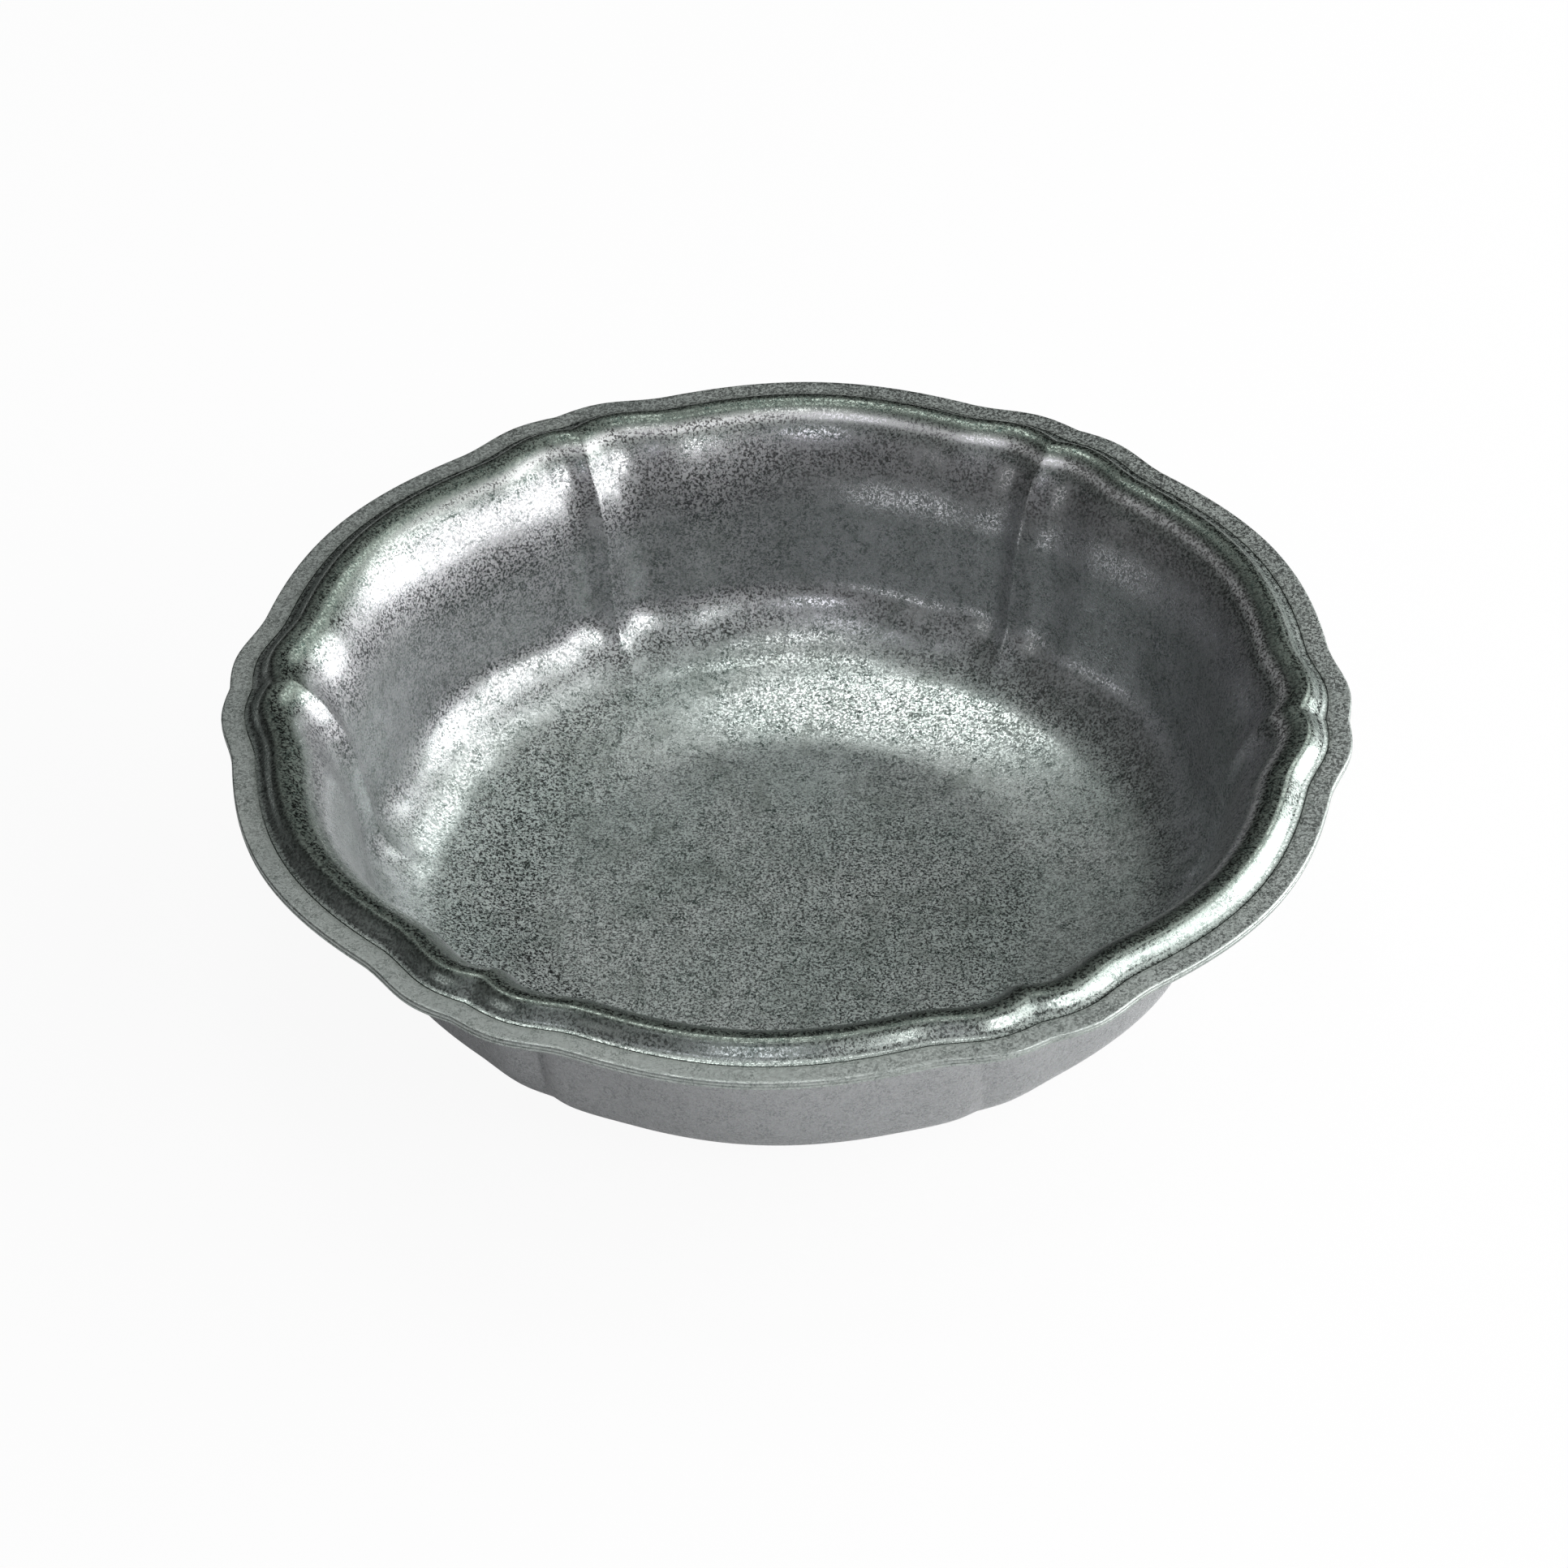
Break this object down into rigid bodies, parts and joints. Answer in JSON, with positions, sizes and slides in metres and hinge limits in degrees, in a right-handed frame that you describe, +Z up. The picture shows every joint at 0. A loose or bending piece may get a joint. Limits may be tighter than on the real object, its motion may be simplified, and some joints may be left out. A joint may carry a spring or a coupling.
{
  "type": "salad bowl",
  "caption": "Wide metal salad bowl with a scalloped flat border, a raised bead inside it, lobed walls with a rib at each notch and a low foot ring, for serving food at the table.",
  "frame": {"origin": "middle of the plane that the foot ring stands on", "axes": "+Z up out of the bowl's mouth; +X towards one notch of the border"},
  "size_m": [0.2812, 0.2814, 0.0725],
  "materials": {
    "basin_metal": "satin, darkened and speckled like old pewter, brighter on the ribs and the bead",
    "border_metal": "matte, darkened and speckled, with a bright worn edge",
    "foot_metal": "satin, worn bright where it stands"
  },
  "bodies": {
    "root": {"basin": "basin_metal", "rim_border": "border_metal", "foot_ring": "foot_metal"}
  },
  "joints": []
}
